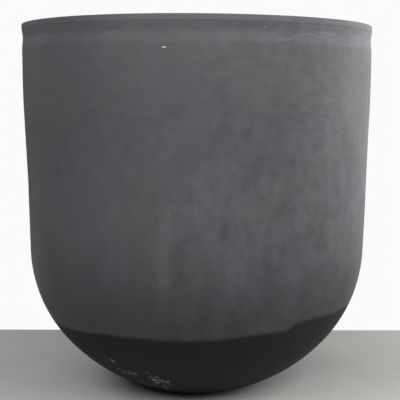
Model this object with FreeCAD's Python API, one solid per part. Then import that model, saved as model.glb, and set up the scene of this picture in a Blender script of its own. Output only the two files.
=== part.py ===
import FreeCAD, Part
import math
import os

# A basin crucible for a foundry furnace: one thick-walled pot of pressed clay-graphite, round about
# the Z axis. The origin is the centre of its flat foot, on the floor. All sizes are in millimetres.
#
# From the floor up, the outside is a flat foot, a dished bottom, a knuckle, a lower wall that leans
# out to a faint waist, a taper, an upright upper wall, and a shallow neck groove below a low lip.
# The inside is a bore that narrows downwards, two bevels that follow the knuckle, and a dished floor.

# Overall
RIM_RADIUS = 390.0              # outside of the lip
TOTAL_HEIGHT = 814.0            # floor to rim

# Lip and neck groove, each depth measured down from the rim
LIP_DEPTH = 12.0                # upright face of the lip
LIP_UNDERSIDE_DEPTH = 21.0      # where the underside of the lip runs into the neck
NECK_FLOOR_DEPTH = 33.0         # lower end of the neck floor
NECK_FLANK_DEPTH = 52.0         # where the lower flank of the neck meets the upper wall
NECK_RECESS = 2.2               # neck floor, inside the lip
LIP_BEVEL = 5.0                 # outer edge of the rim

# Wall, each depth measured down from the rim, each recess measured in from the lip
UPPER_WALL_RECESS = 0.2
SHOULDER_DEPTH = 149.0          # where the upright upper wall ends
WAIST_DEPTH = 347.0             # where the taper ends
WAIST_RECESS = 8.2

# Dished bottom
KNUCKLE_RECESS = 11.0           # widest point of the knuckle, inside the lip
KNUCKLE_RADIUS = 308.0
CROWN_EXTRA = 24.0              # how far the crown radius exceeds the widest point of the knuckle
FOOT_RADIUS = 120.0

# Wall thickness
RIM_WALL = 42.0                 # at the rim
KNUCKLE_WALL = 46.0             # beside the widest point of the knuckle
BOTTOM_THICKNESS = 65.0         # on the axis

# Inside, each height measured up from the centre of the dished floor, each inset from the bore's end
BORE_BEVEL = 8.0                # inner edge of the rim
BORE_END_HEIGHT = 235.0
BEVEL_CORNER_INSET = 47.0       # the corner between the two bevels
BEVEL_CORNER_HEIGHT = 107.0
DISH_EDGE_INSET = 127.0
DISH_RISE = 29.0

AXIS = FreeCAD.Vector(0, 0, 1)
ORIGIN = FreeCAD.Vector(0, 0, 0)


def point(radius, height):
    """A point of the half section, in the XZ plane."""
    return FreeCAD.Vector(radius, 0, height)


def on_circle(centre, radius, angle):
    """The point of a circle at an angle in radians, counted from the outward direction."""
    return centre + point(radius * math.cos(angle), radius * math.sin(angle))


def direction(start, end):
    """The angle in radians of the way from one point to another."""
    return math.atan2(end.z - start.z, end.x - start.x)


def tangent_angle(centre, radius, outside):
    """The angle on a circle where the line from an outside point, above it, touches it."""
    distance = (outside - centre).Length
    return direction(centre, outside) - math.acos(radius / distance)


def arc(centre, radius, start, end):
    """An arc of the half section between two angles in radians."""
    middle = on_circle(centre, radius, (start + end) / 2)
    return Part.Arc(on_circle(centre, radius, start), middle, on_circle(centre, radius, end)).toShape()


def straight_run(points):
    """Straight edges through a row of points."""
    return [Part.LineSegment(start, end).toShape() for start, end in zip(points, points[1:])]


def outside():
    """The outer outline, from the edge of the foot up to the lip's bevel on top of the rim."""
    reach = RIM_RADIUS - KNUCKLE_RECESS
    foot_edge = point(FOOT_RADIUS, 0)
    waist = point(RIM_RADIUS - WAIST_RECESS, TOTAL_HEIGHT - WAIST_DEPTH)

    # The crown's arc starts at the foot and touches the knuckle's, and that one touches the wall
    crown_radius = reach + CROWN_EXTRA
    crown = point(0, math.sqrt(crown_radius**2 - FOOT_RADIUS**2))
    centres_apart = crown_radius - KNUCKLE_RADIUS
    knuckle_inset = reach - KNUCKLE_RADIUS
    knuckle = point(knuckle_inset, crown.z - math.sqrt(centres_apart**2 - knuckle_inset**2))
    touching = direction(crown, knuckle)
    wall_start = tangent_angle(knuckle, KNUCKLE_RADIUS, waist)
    bottom = [
        arc(crown, crown_radius, direction(crown, foot_edge), touching),
        arc(knuckle, KNUCKLE_RADIUS, touching, wall_start),
    ]

    upper_radius = RIM_RADIUS - UPPER_WALL_RECESS
    neck_radius = RIM_RADIUS - NECK_RECESS
    wall = [
        on_circle(knuckle, KNUCKLE_RADIUS, wall_start),
        waist,
        point(upper_radius, TOTAL_HEIGHT - SHOULDER_DEPTH),
        point(upper_radius, TOTAL_HEIGHT - NECK_FLANK_DEPTH),
        point(neck_radius, TOTAL_HEIGHT - NECK_FLOOR_DEPTH),
        point(neck_radius, TOTAL_HEIGHT - LIP_UNDERSIDE_DEPTH),
        point(RIM_RADIUS, TOTAL_HEIGHT - LIP_DEPTH),
        point(RIM_RADIUS, TOTAL_HEIGHT - LIP_BEVEL),
        point(RIM_RADIUS - LIP_BEVEL, TOTAL_HEIGHT),
    ]
    return bottom + straight_run(wall)


def inside():
    """The inner outline, from the bore's bevel on top of the rim down to the centre of the floor."""
    bore_radius = RIM_RADIUS - RIM_WALL
    bore_end_radius = RIM_RADIUS - KNUCKLE_RECESS - KNUCKLE_WALL
    dish_reach = bore_end_radius - DISH_EDGE_INSET
    wall = [
        point(bore_radius + BORE_BEVEL, TOTAL_HEIGHT),
        point(bore_radius, TOTAL_HEIGHT - BORE_BEVEL),
        point(bore_end_radius, BOTTOM_THICKNESS + BORE_END_HEIGHT),
        point(bore_end_radius - BEVEL_CORNER_INSET, BOTTOM_THICKNESS + BEVEL_CORNER_HEIGHT),
        point(dish_reach, BOTTOM_THICKNESS + DISH_RISE),
    ]

    dish_radius = (dish_reach**2 + DISH_RISE**2) / (2 * DISH_RISE)
    dish = point(0, BOTTOM_THICKNESS + dish_radius)
    floor = arc(dish, dish_radius, direction(dish, wall[-1]), -math.pi / 2)
    return straight_run(wall) + [floor]


def half_section():
    """The closed half section of the crucible, anticlockwise from the centre of the foot."""
    outer = outside()
    inner = inside()
    foot = Part.LineSegment(ORIGIN, outer[0].firstVertex().Point).toShape()
    rim = Part.LineSegment(outer[-1].lastVertex().Point, inner[0].firstVertex().Point).toShape()
    axis = Part.LineSegment(inner[-1].lastVertex().Point, ORIGIN).toShape()
    return Part.Face(Part.Wire([foot, *outer, rim, *inner, axis]))


os.makedirs("parts", exist_ok=True)
crucible = half_section().revolve(ORIGIN, AXIS, 360)
crucible.exportStep("parts/crucible.step")
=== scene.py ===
import math

import bmesh
import bpy
from mathutils import Matrix, Vector, noise

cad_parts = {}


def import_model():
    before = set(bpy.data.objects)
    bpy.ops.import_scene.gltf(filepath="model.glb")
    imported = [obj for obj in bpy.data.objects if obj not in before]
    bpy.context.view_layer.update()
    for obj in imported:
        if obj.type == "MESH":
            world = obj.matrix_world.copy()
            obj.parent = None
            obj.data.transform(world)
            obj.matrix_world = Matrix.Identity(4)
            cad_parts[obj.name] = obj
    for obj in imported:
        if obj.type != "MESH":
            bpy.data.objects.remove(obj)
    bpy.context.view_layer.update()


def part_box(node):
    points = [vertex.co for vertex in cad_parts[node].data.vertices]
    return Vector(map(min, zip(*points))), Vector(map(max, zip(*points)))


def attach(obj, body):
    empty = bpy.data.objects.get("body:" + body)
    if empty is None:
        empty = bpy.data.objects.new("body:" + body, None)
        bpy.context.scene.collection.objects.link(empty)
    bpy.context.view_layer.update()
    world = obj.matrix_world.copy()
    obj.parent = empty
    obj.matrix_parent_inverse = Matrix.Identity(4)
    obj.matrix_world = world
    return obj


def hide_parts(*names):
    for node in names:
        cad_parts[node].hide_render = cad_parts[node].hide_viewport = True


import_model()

# The looks of a basin crucible: one worn clay-graphite pot on a plain floor. Lengths are in metres, in
# the frame of the solid. The pot is turned again here with fine rings, soft edges and slight dents.

node_low, node_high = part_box("crucible")
RIM_RADIUS = (node_high[0] - node_low[0]) / 2
TOTAL_HEIGHT = node_high[2] - node_low[2]

# Outside, in the order of the solid
LIP_DEPTH = 0.012
NECK_HOLLOW_DEPTH = 0.026
NECK_FLOOR_DEPTH = 0.033
NECK_FLANK_DEPTH = 0.052
NECK_RECESS = 0.0022
LIP_ROUND = 0.0018
LIP_STEP_DEPTH = 0.014
LIP_STEP = 0.0008
UPPER_WALL_RECESS = 0.0002
SHOULDER_DEPTH = 0.149
WAIST_DEPTH = 0.347
WAIST_RECESS = 0.0082
KNUCKLE_RECESS = 0.011
KNUCKLE_RADIUS = 0.308
CROWN_EXTRA = 0.024
FOOT_RADIUS = 0.120

# Inside
RIM_WALL = 0.042
KNUCKLE_WALL = 0.046
BOTTOM_THICKNESS = 0.065
BORE_ROUND = 0.009
BORE_END_HEIGHT = 0.235
BEVEL_CORNER_INSET = 0.047
BEVEL_CORNER_HEIGHT = 0.107
DISH_EDGE_INSET = 0.127
DISH_RISE = 0.029

# Mesh
SEGMENTS = 312
FINE_STEP = 0.0015
WALL_STEP = 0.009
OUTSIDE, INSIDE = 0, 1

# Unevenness: the fall of the rim towards +X as a slope, and knocks in the outer face as (azimuth in degrees,
# height, half width, half height, depth), with azimuths counted from the front, -Y, towards +X. The last,
# with a depth below 0, is a broad fullness of the wall at the waist.
RIM_SLANT = 0.0056
KNOCK_END = 6
KNOCKS = [
    (26.3, 0.756, 0.011, 0.006, 0.0012),
    (-8.8, 0.750, 0.007, 0.004, 0.0010),
    (33.0, 0.779, 0.014, 0.003, 0.0006),
    (41.0, 0.782, 0.018, 0.003, 0.0007),
    (-26.0, 0.777, 0.016, 0.004, 0.0005),
    (150.0, 0.640, 0.014, 0.009, 0.0010),
    (-120.0, 0.520, 0.012, 0.010, 0.0009),
    (-160.0, 0.760, 0.015, 0.006, 0.0010),
    (90.0, 0.440, 0.450, 0.120, -0.0022),
]

# Darker zone round the bottom: height of its upper edge in front, how far it falls towards -X, and how far it
# climbs and then steps up towards +X
BOTTOM_DARK_HEIGHT = 0.178
BOTTOM_DARK_FALL = 0.010
BOTTOM_DARK_RISE = 0.010
BOTTOM_DARK_STEP = 0.016

# Colours, linear
WARM_GREY = (0.0733, 0.0706, 0.0778, 1)
COOL_GREY = (0.0690, 0.0718, 0.0806, 1)
# Colour of the darker zone round the bottom
BOTTOM_DARK_COLOUR = (0.0012, 0.0016, 0.0018, 1)

# Lighter runs and darker patches on the wall, as (azimuth in degrees, low end, high end, half width, lift)
RUNS = [
    (1.8, 0.405, 0.500, 0.012, 0.14),
    (-8.8, 0.300, 0.400, 0.014, 0.14),
    (-2.2, 0.315, 0.345, 0.007, 0.08),
    (11.8, 0.288, 0.401, 0.016, 0.11),
    (14.0, 0.430, 0.470, 0.018, 0.10),
    (2.4, 0.405, 0.450, 0.010, -0.08),
    (-4.5, 0.305, 0.370, 0.016, -0.14),
    (9.5, 0.380, 0.420, 0.013, -0.11),
    (20.0, 0.300, 0.360, 0.020, -0.08),
    (44.0, 0.540, 0.600, 0.026, 0.08),
    (36.0, 0.455, 0.500, 0.022, 0.07),
    (28.0, 0.420, 0.450, 0.018, -0.06),
    (50.0, 0.350, 0.400, 0.024, 0.06),
    (31.0, 0.590, 0.640, 0.020, -0.06),
]

# Painted highlights and light smears on the neck, as the runs
NECK_HIGHLIGHTS_AND_SMEARS = [
    (33.5, 0.7765, 0.7795, 0.0130, 0.49),
    (38.5, 0.7815, 0.7840, 0.0100, 0.36),
    (42.5, 0.7790, 0.7830, 0.0150, 0.56),
    (27.0, 0.7650, 0.7675, 0.0200, 0.26),
    (-24.5, 0.7775, 0.7800, 0.0090, 0.36),
    (-18.0, 0.7880, 0.7900, 0.0120, 0.29),
]

# Bare and scraped places, and a painted bluish reflection on the neck, as ((azimuth in degrees, height), half
# size, colour)
CHIPS_AND_REFLECTION = [
    ((-8.8, 0.750), (0.0036, 0.0009), (0.55, 0.55, 0.54, 1)),
    ((19.4, 0.788), (0.0020, 0.0012), (0.150, 0.155, 0.150, 1)),
    ((26.3, 0.7555), (0.0050, 0.0010), (0.115, 0.115, 0.120, 1)),
    # Painted reflection: a broad bluish light on the neck towards +X
    ((60.0, 0.774), (0.034, 0.009), (0.120, 0.126, 0.156, 1)),
    ((-7.9, 0.436), (0.0012, 0.0040), (0.12, 0.12, 0.12, 1)),
]
SCRAPES = [
    ((-18.5, 0.056), (0.026, 0.020), (0.250, 0.255, 0.245, 1)),
    ((-21.0, 0.083), (0.012, 0.006), (0.060, 0.062, 0.060, 1)),
    ((-34.0, 0.078), (0.028, 0.009), (0.130, 0.135, 0.130, 1)),
    ((-38.0, 0.108), (0.012, 0.005), (0.220, 0.215, 0.205, 1)),
    ((-28.5, 0.044), (0.032, 0.008), (0.090, 0.094, 0.090, 1)),
    ((-16.6, 0.036), (0.012, 0.005), (0.035, 0.060, 0.045, 1)),
]

# Past this azimuth, in radians, the wear of the right-hand side falls back to that of the left
FOLD_AZIMUTH = 2.0

# Lower flank of the neck
FLANK_LOW = TOTAL_HEIGHT - NECK_FLANK_DEPTH
FLANK_HIGH = TOTAL_HEIGHT - NECK_FLOOR_DEPTH - 0.006

# Stage: the floor meets the pale wall at WALL_DISTANCE behind the pot's axis
FLOOR_HALF_SIZE = 6.0
WALL_DISTANCE = 0.446
DARK_CONCRETE = (0.46, 0.46, 0.45, 1)
PALE_CONCRETE = (0.54, 0.54, 0.52, 1)
WALL_COLOUR = (0.85, 0.85, 0.86, 1)
SEEN_WHITE = (0.96, 0.96, 0.97, 1)

# Camera, with its tilt down and its roll in degrees
CAMERA_PLACE = (0.0077, -2.140, 0.6614)
CAMERA_LENS = 84.0
CAMERA_TILT = 6.42
CAMERA_ROLL = 0.12

# Light: lamps as (name, azimuth and elevation in degrees, power in watts)
WORLD_LIGHT = 0.10
LAMP_DISTANCE = 3.0
LAMP_SIZE = 1.5
LAMPS = [
    ("front_left", -40, 35, 34),
    ("front", 0, 35, 25),
    ("front_right", 40, 35, 42),
    ("right", 80, 10, 20),
    ("right_back", 110, 10, 25),
    ("back", 140, 10, 14),
    ("left_back", -120, 35, 19),
]


# ---------------------------------------------------------------- outline

def on_circle(centre, radius, angle):
    return Vector((centre[0] + radius * math.cos(angle), centre[1] + radius * math.sin(angle)))


def arc_points(centre, radius, start, end, step):
    count = max(2, round(abs(end - start) * radius / step))
    return [on_circle(centre, radius, start + (end - start) * i / count) for i in range(count + 1)]


def run_points(corners, step):
    """Points along straight runs whose corners are (point, rounding) and are rounded by a curve."""
    points = []
    here = corners[0][0]
    for (before, _), (corner, rounding), (after, _) in zip(corners, corners[1:], corners[2:]):
        cut = min(rounding, 0.48 * (before - corner).length, 0.48 * (after - corner).length)
        start = corner + (before - corner).normalized() * cut
        end = corner + (after - corner).normalized() * cut
        points += line_points(here, start, step)
        bends = max(4, round(2 * cut / step))
        for i in range(bends):
            t = i / bends
            points.append(start * (1 - t) ** 2 + corner * 2 * t * (1 - t) + end * t**2)
        here = end
    return points + line_points(here, corners[-1][0], step) + [corners[-1][0]]


def line_points(start, end, step):
    count = max(1, round((end - start).length / step))
    return [start.lerp(end, i / count) for i in range(count)]


def outline():
    """The half section as (radius, height) points, from the centre of the foot round to the inner floor."""
    reach = RIM_RADIUS - KNUCKLE_RECESS
    crown_radius = reach + CROWN_EXTRA
    crown = Vector((0, math.sqrt(crown_radius**2 - FOOT_RADIUS**2)))
    inset = reach - KNUCKLE_RADIUS
    drop = math.sqrt((crown_radius - KNUCKLE_RADIUS) ** 2 - inset**2)
    knuckle = Vector((inset, crown[1] - drop))
    touching = -math.atan2(drop, inset)
    foot_angle = -math.acos(FOOT_RADIUS / crown_radius)
    upper = RIM_RADIUS - UPPER_WALL_RECESS
    neck = RIM_RADIUS - NECK_RECESS
    waist = Vector((RIM_RADIUS - WAIST_RECESS, TOTAL_HEIGHT - WAIST_DEPTH))
    to_waist = waist - knuckle
    wall_start = math.atan2(to_waist[1], to_waist[0]) - math.acos(KNUCKLE_RADIUS / to_waist.length)

    points = line_points(Vector((0, 0)), Vector((FOOT_RADIUS - 0.004, 0)), WALL_STEP)
    points += arc_points(crown, crown_radius, foot_angle, touching, WALL_STEP)[1:]
    points += arc_points(knuckle, KNUCKLE_RADIUS, touching, wall_start, WALL_STEP)[1:-1]
    flank = Vector((upper, TOTAL_HEIGHT - NECK_FLANK_DEPTH))
    under_flank = flank + Vector((0, -0.01))
    points += run_points([
        (on_circle(knuckle, KNUCKLE_RADIUS, wall_start), 0),
        (waist, 0.06),
        (Vector((upper, TOTAL_HEIGHT - SHOULDER_DEPTH)), 0.04),
        (under_flank, 0),
    ], WALL_STEP)[:-1]
    bore = RIM_RADIUS - RIM_WALL
    under_mouth = Vector((bore - 0.001, TOTAL_HEIGHT - 0.03))
    points += run_points([
        (under_flank, 0),
        (flank, 0.006),
        (Vector((neck, TOTAL_HEIGHT - NECK_FLOOR_DEPTH)), 0.005),
        (Vector((neck, TOTAL_HEIGHT - NECK_HOLLOW_DEPTH)), 0.004),
        (Vector((RIM_RADIUS - LIP_STEP, TOTAL_HEIGHT - LIP_STEP_DEPTH)), 0.0006),
        (Vector((RIM_RADIUS, TOTAL_HEIGHT - LIP_DEPTH)), 0.0010),
        (Vector((RIM_RADIUS, TOTAL_HEIGHT)), LIP_ROUND),
        (Vector((bore, TOTAL_HEIGHT)), BORE_ROUND),
        (under_mouth, 0),
    ], FINE_STEP)[:-1]
    bore_end = reach - KNUCKLE_WALL
    dish_reach = bore_end - DISH_EDGE_INSET
    points += run_points([
        (under_mouth, 0),
        (Vector((bore_end, BOTTOM_THICKNESS + BORE_END_HEIGHT)), 0.07),
        (Vector((bore_end - BEVEL_CORNER_INSET, BOTTOM_THICKNESS + BEVEL_CORNER_HEIGHT)), 0.055),
        (Vector((dish_reach, BOTTOM_THICKNESS + DISH_RISE)), 0.05),
        (Vector((dish_reach * 0.45, BOTTOM_THICKNESS + DISH_RISE * 0.12)), 0.06),
        (Vector((0, BOTTOM_THICKNESS)), 0),
    ], WALL_STEP)
    return points


# ---------------------------------------------------------------- pot

def smooth_step(low, high, value):
    t = min(1.0, max(0.0, (value - low) / (high - low)))
    return t * t * (3 - 2 * t)


def hump(value, centre, width):
    return math.exp(-((value - centre) / width) ** 2)


def dents(angle, height):
    """Depth of the knocks and nicks at a place of the outer face."""
    depth = 0.0
    for azimuth, middle, half_width, half_height, sunk in KNOCKS:
        across = (angle - math.radians(azimuth)) * RIM_RADIUS / half_width
        up = (height - middle) / half_height
        reach = across**2 + up**2
        if reach < KNOCK_END:
            depth += sunk * math.exp(-reach)
    return depth


def hollow(angle, place):
    """How far the outer face lies inside the ideal turned form, in metres."""
    height = place[2]
    broad = noise.noise(place * 2.6 + Vector((3.1, 0.4, 7.7)))
    middling = noise.noise(Vector((place[0] * 9, place[1] * 9, height * 16)))
    ring = noise.noise(Vector((place[0] * 1.5, place[1] * 1.5, height * 55)))
    wall = smooth_step(0.02, 0.12, height)
    sunk = 0.00012 * (1 + broad) + 0.00009 * (1 + middling)
    sunk += 0.00007 * (1 + ring) * smooth_step(0.42, 0.60, height)
    sunk += 0.0004 * hump(height, 0.470, 0.035)
    return sunk * wall * smooth_step(0.002, 0.06, TOTAL_HEIGHT - height) + dents(angle, height)


def rim_drop(place):
    """The rim lies a little lower towards +X, fading out down the wall."""
    return RIM_SLANT * (place[0] + RIM_RADIUS) * smooth_step(0.30, 0.74, place[2])


def place_on_pot(radius, height, angle, outer):
    outward = Vector((math.sin(angle), -math.cos(angle), 0))
    place = outward * radius + Vector((0, 0, height))
    if outer and radius > FOOT_RADIUS:
        azimuth = (angle + math.pi) % math.tau - math.pi
        place -= outward * hollow(azimuth, place)
    place[2] -= rim_drop(place)
    return place


def turned_pot():
    points = outline()
    top = max(range(len(points)), key=lambda i: points[i][1])
    mesh = bmesh.new()
    rings = []
    for index, (radius, height) in enumerate(points):
        if radius < 1e-6:
            rings.append([mesh.verts.new((0, 0, height))])
            continue
        rings.append([
            mesh.verts.new(place_on_pot(radius, height, math.tau * step / SEGMENTS, index < top))
            for step in range(SEGMENTS)
        ])
    for index, (lower, upper) in enumerate(zip(rings, rings[1:])):
        for step in range(SEGMENTS):
            after = (step + 1) % SEGMENTS
            if len(lower) == 1:
                face = mesh.faces.new((lower[0], upper[after], upper[step]))
            elif len(upper) == 1:
                face = mesh.faces.new((lower[step], lower[after], upper[0]))
            else:
                face = mesh.faces.new((lower[step], lower[after], upper[after], upper[step]))
            face.material_index = OUTSIDE if index < top else INSIDE
    bmesh.ops.recalc_face_normals(mesh, faces=mesh.faces)
    for face in mesh.faces:
        face.smooth = True
    data = bpy.data.meshes.new("pot_body")
    mesh.to_mesh(data)
    mesh.free()
    pot = bpy.data.objects.new("pot_body", data)
    bpy.context.scene.collection.objects.link(pot)
    return pot


# ---------------------------------------------------------------- materials

class Nodes:
    """A material's node tree, with short calls for the nodes that are used often."""

    def __init__(self, name):
        self.material = bpy.data.materials.new(name)
        self.material.use_nodes = True
        self.tree = self.material.node_tree
        self.tree.nodes.clear()

    def new(self, kind, **settings):
        node = self.tree.nodes.new(kind)
        for key, value in settings.items():
            setattr(node, key, value)
        return node

    def feed(self, socket, value):
        if isinstance(value, bpy.types.NodeSocket):
            self.tree.links.new(value, socket)
        else:
            socket.default_value = value

    def math(self, operation, *values):
        node = self.new("ShaderNodeMath", operation=operation)
        for socket, value in zip(node.inputs, values):
            self.feed(socket, value)
        return node.outputs[0]

    def stretched(self, scale):
        place = self.new("ShaderNodeTexCoord").outputs["Object"]
        node = self.new("ShaderNodeMapping")
        self.feed(node.inputs["Vector"], place)
        node.inputs["Scale"].default_value = scale
        return node.outputs[0]

    def noise(self, scale, detail=3.0, roughness=0.55, stretch=(1, 1, 1)):
        node = self.new("ShaderNodeTexNoise")
        self.feed(node.inputs["Vector"], self.stretched(stretch))
        node.inputs["Scale"].default_value = scale
        node.inputs["Detail"].default_value = detail
        node.inputs["Roughness"].default_value = roughness
        return node.outputs["Fac"]

    def span(self, value, low, high, to_low=0.0, to_high=1.0):
        node = self.new("ShaderNodeMapRange", interpolation_type="SMOOTHSTEP")
        for name, entry in zip(
            ("Value", "From Min", "From Max", "To Min", "To Max"), (value, low, high, to_low, to_high)
        ):
            self.feed(node.inputs[name], entry)
        return node.outputs[0]

    def mix(self, factor, first, second):
        node = self.new("ShaderNodeMix", data_type="RGBA", blend_type="MIX")
        self.feed(node.inputs[0], factor)
        self.feed(node.inputs[6], first)
        self.feed(node.inputs[7], second)
        return node.outputs[2]

    def place(self):
        """The x, y and z of the point that is shaded."""
        node = self.new("ShaderNodeSeparateXYZ")
        self.feed(node.inputs[0], self.new("ShaderNodeTexCoord").outputs["Object"])
        return node.outputs

    def band(self, value, low, high, soft):
        """1 between two values, falling to 0 over a soft edge outside them."""
        rise = self.span(value, low - soft, low)
        return self.math("MULTIPLY", rise, self.span(value, high + soft, high))

    def spot(self, azimuth, height, middle, half_size, soft):
        """1 inside an ellipse on the pot's face, falling to 0 at (1 + soft) times its size."""
        across = self.math("MULTIPLY_ADD", azimuth, RIM_RADIUS / half_size[0],
                           -math.radians(middle[0]) * RIM_RADIUS / half_size[0])
        up = self.math("MULTIPLY_ADD", height, 1 / half_size[1], -middle[1] / half_size[1])
        reach = self.math("ADD", self.math("MULTIPLY", across, across), self.math("MULTIPLY", up, up))
        return self.span(reach, (1 + soft) ** 2, 1)

    def product(self, *values):
        result = values[0]
        for value in values[1:]:
            result = self.math("MULTIPLY", result, value)
        return result

    def total(self, *values):
        result = values[0]
        for value in values[1:]:
            result = self.math("ADD", result, value)
        return result


def marks(nodes, azimuth, height, places, soft):
    """The lift in tone of each mark of a list, round a place whose azimuth and height are given."""
    lifts = []
    for middle_azimuth, low, high, half_width, lift in places:
        middle = (middle_azimuth, (low + high) / 2)
        spot = nodes.spot(azimuth, height, middle, (half_width, (high - low) / 2), soft)
        lifts.append(nodes.math("MULTIPLY", spot, lift))
    return lifts


def wall_tone(nodes, azimuth, side_azimuth, z, marked):
    """How light the clay-graphite is at a place, with painted light and shade, as a share of its plain
    colour.
    """
    cloud = nodes.span(nodes.noise(4.0, 3.0), 0.3, 0.7, -0.05, 0.05)
    blotch = nodes.span(nodes.noise(22.0, 3.0, 0.6, (1, 1, 0.8)), 0.32, 0.68, -0.06, 0.06)
    mottle = nodes.span(nodes.noise(48.0, 4.0, 0.62), 0.32, 0.68, -0.07, 0.08)
    grain = nodes.span(nodes.noise(420.0, 2.0), 0.3, 0.75, -0.02, 0.04)

    # The right-hand side and the front are more worn than the left
    wear = nodes.span(side_azimuth, -0.75, 0.90, 0.35, 1.20)
    scuffed = nodes.math("MULTIPLY_ADD", nodes.band(z, 0.40, 0.58, 0.09), 0.55, 1.0)
    patches = nodes.product(nodes.math("ADD", blotch, mottle), wear, scuffed)

    if not marked:
        return nodes.total(1.0, cloud, patches, grain)

    # Faint turning marks above the waist, as short level dashes, and soft upright streaks below it
    dashes = nodes.span(nodes.noise(30.0, 4.0, 0.65, (1, 1, 3.5)), 0.38, 0.70, -0.07, 0.09)
    above = nodes.product(nodes.span(z, 0.50, 0.64), nodes.span(side_azimuth, 0.0, 0.7, 0.35, 1.15))
    on_neck = nodes.product(nodes.span(z, 0.752, 0.764), nodes.span(side_azimuth, 0.3, 0.9, 0.0, 1.0))
    above = nodes.math("MULTIPLY", dashes, nodes.math("ADD", above, on_neck))
    streaks = nodes.span(nodes.noise(20.0, 3.0, 0.6, (1, 1, 0.16)), 0.35, 0.68, -0.035, 0.045)
    below = nodes.math("MULTIPLY", streaks, nodes.span(z, 0.56, 0.42))

    # The listed runs and patches, their edges made ragged by shifting the place they are looked up at
    shift = nodes.math("MULTIPLY_ADD", nodes.noise(30.0, 3.0, 0.6), 0.06, -0.03)
    ragged_azimuth = nodes.math("ADD", azimuth, shift)
    lowered = nodes.math("SUBTRACT", z, 0.025)
    ragged_height = nodes.math("MULTIPLY_ADD", nodes.noise(24.0, 3.0, 0.6), 0.05, lowered)
    runs = marks(nodes, ragged_azimuth, ragged_height, RUNS, 0.8)

    near_azimuth = nodes.math("MULTIPLY_ADD", shift, 0.5, azimuth)
    lowered = nodes.math("SUBTRACT", z, 0.005)
    near_height = nodes.math("MULTIPLY_ADD", nodes.noise(60.0, 2.0), 0.010, lowered)
    # Painted highlights and light smears on the neck
    highlights_and_smears = marks(nodes, near_azimuth, near_height, NECK_HIGHLIGHTS_AND_SMEARS, 0.9)

    # Lighter band on the lower flank of the neck, which faces up: painted light with wear, strongest towards
    # +X
    lowered = nodes.math("SUBTRACT", z, 0.003)
    wavy_height = nodes.math("MULTIPLY_ADD", nodes.noise(30.0, 2.0), 0.006, lowered)
    flank_light_and_wear = nodes.band(wavy_height, FLANK_LOW, FLANK_HIGH, 0.004)
    patchy = nodes.span(nodes.noise(20.0, 3.0, 0.6, (1, 1, 5)), 0.35, 0.62, 0.25, 1.0)
    side = nodes.span(side_azimuth, 0.15, 1.0, 0.02, 0.42)
    flank_light_and_wear = nodes.product(flank_light_and_wear, patchy, side)

    # The upper wall and the lip are lighter than the rest, the neck most of all towards +X
    # Painted light with polish: the neck and upper wall lighter towards the lit +X side
    painted_light_and_polish = nodes.product(nodes.span(z, 0.70, 0.77), nodes.span(side_azimuth, 0.45, 1.25, 0.0, 0.38))
    upper = nodes.span(z, 0.56, 0.78, 0.0, 0.09)
    # Painted light: the lip lighter at the top, where its edge catches light from above
    lip = nodes.product(nodes.span(z, 0.790, 0.806), nodes.span(side_azimuth, -0.8, -0.3, 0.08, 0.26))

    # Painted shade: the wall darkens down towards the dark zone round the bottom, where it turns to face the
    # floor
    lower_shade = nodes.span(z, 0.44, 0.165, 0.0, -0.56)
    placed = runs + highlights_and_smears
    return nodes.total(1.0, cloud, patches, grain, above, below, flank_light_and_wear, painted_light_and_polish, upper, lip, lower_shade, *placed)


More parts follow.
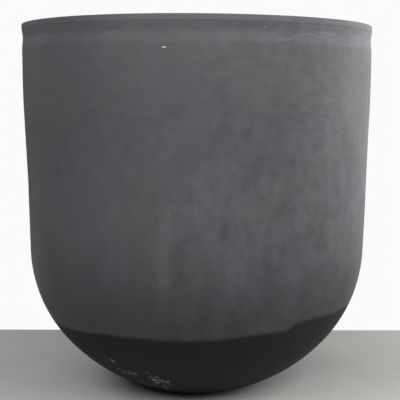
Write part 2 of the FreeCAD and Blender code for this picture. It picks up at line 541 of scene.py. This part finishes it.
def clay_graphite(name, marked):
    """The pot's material. Marked, for the outer face, it has the darker zone round the bottom, runs, chips
    and scrapes, and painted light and shade.
    """
    nodes = Nodes(name)
    x, y, z = nodes.place()
    azimuth = nodes.math("ARCTAN2", x, nodes.math("MULTIPLY", y, -1.0))
    # Folded past the right-hand side, so that what goes by it has no seam at the back
    folded = nodes.span(azimuth, FOLD_AZIMUTH, math.pi, FOLD_AZIMUTH, -math.pi)
    side_azimuth = nodes.math("MINIMUM", azimuth, folded)
    hue = nodes.total(
        nodes.span(nodes.noise(7.0, 3.0), 0.38, 0.62, 0.0, 0.75),
        nodes.span(z, 0.62, 0.30, 0.0, 0.30),
        nodes.span(side_azimuth, 0.3, 0.9, 0.0, 0.15),
    )
    tone = nodes.new("ShaderNodeVectorMath", operation="SCALE")
    nodes.feed(tone.inputs[0], nodes.mix(hue, WARM_GREY, COOL_GREY))
    nodes.feed(tone.inputs["Scale"], wall_tone(nodes, azimuth, side_azimuth, z, marked))
    colour = tone.outputs[0]

    bottom_dark = 0.0
    if marked:
        # Darker round the bottom, with a soft uneven upper edge that climbs towards +X
        line = nodes.total(
            BOTTOM_DARK_HEIGHT,
            nodes.span(x, -0.26, -0.17, -BOTTOM_DARK_FALL, 0.0),
            nodes.span(x, 0.0, 0.16, 0.0, BOTTOM_DARK_RISE),
            nodes.span(x, 0.180, 0.210, 0.0, BOTTOM_DARK_STEP),
        )
        uneven = nodes.math("MULTIPLY_ADD", nodes.noise(8.0, 3.0), 0.016, -0.008)
        above = nodes.math("SUBTRACT", nodes.math("SUBTRACT", z, line), uneven)
        bottom_dark = nodes.span(above, 0.007, -0.005)
        colour = nodes.mix(bottom_dark, colour, BOTTOM_DARK_COLOUR)

        # Scraped places in the dark zone round the bottom, near the floor
        scraped = nodes.span(nodes.noise(75.0, 4.0, 0.65, (1, 1, 1.8)), 0.51, 0.57)
        for middle, half_size, grey in SCRAPES:
            patch = nodes.math("MULTIPLY", nodes.spot(azimuth, z, middle, half_size, 0.6), scraped)
            colour = nodes.mix(patch, colour, grey)

        # Bright bare spots in the chips, and the painted bluish reflection on the neck towards +X
        for middle, half_size, grey in CHIPS_AND_REFLECTION:
            colour = nodes.mix(nodes.spot(azimuth, z, middle, half_size, 0.5), colour, grey)

    # Surface: pressed grain, shallow turning rings above the waist
    grain = nodes.math("MULTIPLY", nodes.noise(260.0, 4.0, 0.6), 0.0004)
    pits = nodes.math("MULTIPLY", nodes.noise(60.0, 4.0, 0.6, (1, 1, 2)), 0.0008)
    rings = nodes.product(nodes.noise(26.0, 3.0, 0.6, (0.6, 0.6, 8)), nodes.span(z, 0.45, 0.62, 0.0, 0.0005))
    bump = nodes.new("ShaderNodeBump")
    bump.inputs["Strength"].default_value = 0.6
    bump.inputs["Distance"].default_value = 1.0
    nodes.feed(bump.inputs["Height"], nodes.total(grain, pits, rings))

    shader = nodes.new("ShaderNodeBsdfPrincipled")
    nodes.feed(shader.inputs["Base Color"], colour)
    sheen = nodes.span(nodes.noise(6.0, 3.0), 0.3, 0.7, 0.50, 0.58)
    nodes.feed(shader.inputs["Roughness"], nodes.math("MULTIPLY_ADD", bottom_dark, 0.25, sheen))
    shader.inputs["Specular IOR Level"].default_value = 0.40
    nodes.feed(shader.inputs["Normal"], bump.outputs[0])
    output = nodes.new("ShaderNodeOutputMaterial")
    nodes.feed(output.inputs["Surface"], shader.outputs[0])
    return nodes.material


def floor_material():
    """Pale concrete as far as the wall, and beyond it the white that the camera sees as the wall."""
    nodes = Nodes("stage_floor")
    x, y, _ = nodes.place()
    behind = nodes.math("GREATER_THAN", y, WALL_DISTANCE)
    # Painted shade: the concrete darkens towards -X, as well as in clouds
    cloud = nodes.math("MULTIPLY_ADD", x, 0.45, nodes.noise(3.0, 4.0))
    concrete = nodes.mix(nodes.span(cloud, 0.2, 0.8), DARK_CONCRETE, PALE_CONCRETE)
    shader = nodes.new("ShaderNodeBsdfPrincipled")
    nodes.feed(shader.inputs["Base Color"], nodes.mix(behind, concrete, WALL_COLOUR))
    shader.inputs["Roughness"].default_value = 0.8
    glow = nodes.new("ShaderNodeEmission")
    glow.inputs["Color"].default_value = SEEN_WHITE
    seen = nodes.math("MULTIPLY", behind, nodes.new("ShaderNodeLightPath").outputs["Is Camera Ray"])
    pick = nodes.new("ShaderNodeMixShader")
    nodes.feed(pick.inputs[0], seen)
    nodes.feed(pick.inputs[1], shader.outputs[0])
    nodes.feed(pick.inputs[2], glow.outputs[0])
    output = nodes.new("ShaderNodeOutputMaterial")
    nodes.feed(output.inputs["Surface"], pick.outputs[0])
    return nodes.material


# ---------------------------------------------------------------- stage, lights, camera

def stage():
    data = bpy.data.meshes.new("stage_floor")
    far = FLOOR_HALF_SIZE
    data.from_pydata([(-far, -far, 0), (far, -far, 0), (far, far, 0), (-far, far, 0)], [], [(0, 1, 2, 3)])
    floor = bpy.data.objects.new("stage_floor", data)
    bpy.context.scene.collection.objects.link(floor)
    data.materials.append(floor_material())


def world():
    world = bpy.data.worlds.new("studio")
    world.use_nodes = True
    tree = world.node_tree
    tree.nodes.clear()
    soft = tree.nodes.new("ShaderNodeBackground")
    soft.inputs["Color"].default_value = (1, 1, 1, 1)
    soft.inputs["Strength"].default_value = WORLD_LIGHT
    white = tree.nodes.new("ShaderNodeBackground")
    white.inputs["Color"].default_value = SEEN_WHITE
    white.inputs["Strength"].default_value = 1.0
    seen = tree.nodes.new("ShaderNodeLightPath").outputs["Is Camera Ray"]
    pick = tree.nodes.new("ShaderNodeMixShader")
    output = tree.nodes.new("ShaderNodeOutputWorld")
    tree.links.new(seen, pick.inputs[0])
    tree.links.new(soft.outputs[0], pick.inputs[1])
    tree.links.new(white.outputs[0], pick.inputs[2])
    tree.links.new(pick.outputs[0], output.inputs["Surface"])
    bpy.context.scene.world = world


def softbox(name, azimuth, elevation, power):
    """A square softbox on a sphere round the pot's middle; azimuths count from the front towards +X."""
    data = bpy.data.lights.new(name, "AREA")
    data.shape = "SQUARE"
    data.size = LAMP_SIZE
    data.energy = power
    level = LAMP_DISTANCE * math.cos(math.radians(elevation))
    offset = Vector((
        level * math.sin(math.radians(azimuth)),
        -level * math.cos(math.radians(azimuth)),
        LAMP_DISTANCE * math.sin(math.radians(elevation)),
    ))
    lamp = bpy.data.objects.new(name, data)
    lamp.location = Vector((0, 0, TOTAL_HEIGHT / 2)) + offset
    lamp.rotation_euler = (-offset).to_track_quat("-Z", "Y").to_euler()
    lamp.visible_camera = False
    bpy.context.scene.collection.objects.link(lamp)


def camera():
    data = bpy.data.cameras.new("view")
    data.sensor_width = 36.0
    data.lens = CAMERA_LENS
    data.clip_end = 50
    view = bpy.data.objects.new("view", data)
    tilt = Matrix.Rotation(math.radians(90 - CAMERA_TILT), 4, "X")
    roll = Matrix.Rotation(math.radians(CAMERA_ROLL), 4, "Z")
    view.matrix_world = Matrix.Translation(CAMERA_PLACE) @ tilt @ roll
    bpy.context.scene.collection.objects.link(view)
    bpy.context.scene.camera = view


# ---------------------------------------------------------------- build

pot = turned_pot()
# In the order of OUTSIDE and INSIDE
pot.data.materials.append(clay_graphite("clay_graphite", True))
pot.data.materials.append(clay_graphite("clay_graphite_bore", False))
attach(pot, "root")
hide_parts("crucible")

stage()
world()
for lamp_name, lamp_azimuth, lamp_elevation, lamp_power in LAMPS:
    softbox(lamp_name, lamp_azimuth, lamp_elevation, lamp_power)
camera()
bpy.context.scene.view_settings.view_transform = "Standard"
